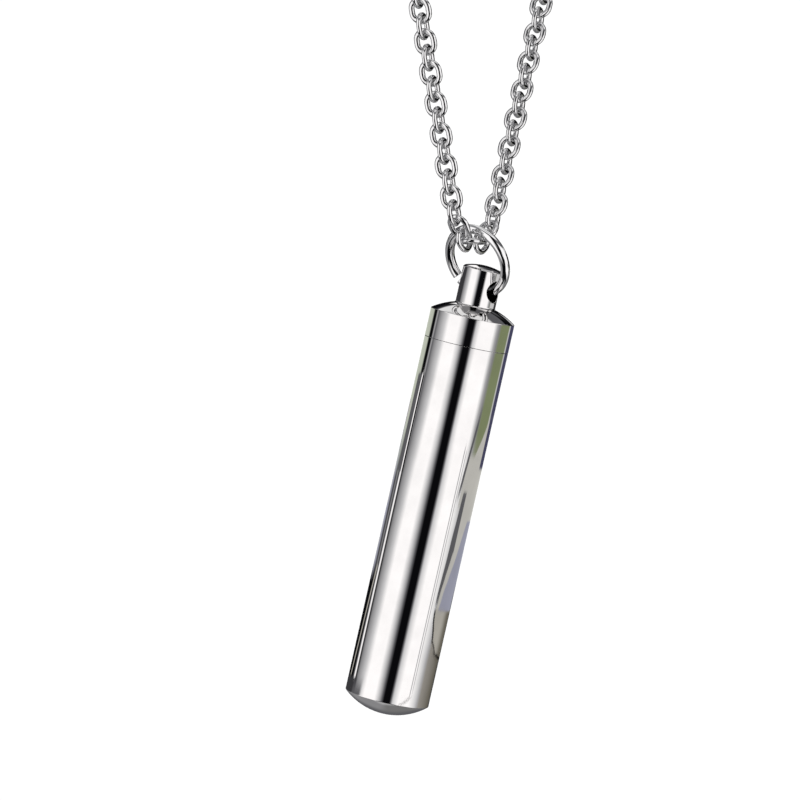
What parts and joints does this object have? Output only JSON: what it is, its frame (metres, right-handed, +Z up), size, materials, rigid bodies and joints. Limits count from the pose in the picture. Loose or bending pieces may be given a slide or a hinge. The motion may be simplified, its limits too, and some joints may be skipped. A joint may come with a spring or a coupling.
{
  "type": "capsule pendant",
  "caption": "Polished steel capsule with a screw cap, whose drilled stem hangs by a jump ring from a closed loop of oval-link cable chain with a plain clasp.",
  "frame": {"origin": "middle of the clasp's inner face, at the top of the closed loop, where the necklace hangs", "axes": "+Z up, parallel to the capsule's axis; X across the loop; the hole through the capsule's stem runs along Y, and the loop leans towards +Y as it rises"},
  "size_m": [0.1022, 0.0498, 0.2342],
  "materials": {
    "chain_steel": "polished stainless wire",
    "clasp_steel": "polished stainless",
    "ring_steel": "polished stainless wire",
    "cap_steel": "mirror-polished stainless",
    "tube_steel": "mirror-polished stainless"
  },
  "bodies": {
    "necklace": {"chain_left": "chain_steel", "chain_right": "chain_steel", "clasp": "clasp_steel", "end_ring_left": "clasp_steel", "end_ring_right": "clasp_steel"},
    "ring": {"jump_ring": "ring_steel"},
    "capsule": {"cap": "cap_steel"},
    "vial": {"tube": "tube_steel"}
  },
  "joints": [
    {"name": "ring_turn", "type": "hinge", "parent": "necklace", "child": "ring", "pos_m": [0.00182, -0.04197, -0.17695], "axis": [0.891, 0, 0.454], "range_deg": [-60, 60]},
    {"name": "capsule_swing", "type": "hinge", "parent": "ring", "child": "capsule", "pos_m": [0.00343, -0.04197, -0.18011], "axis": [0, 1, 0], "range_deg": [-90, 60]},
    {"name": "tube_off", "type": "slide", "parent": "capsule", "child": "vial", "axis": [0, 0, -1], "range_m": [0, 0.02]}
  ]
}
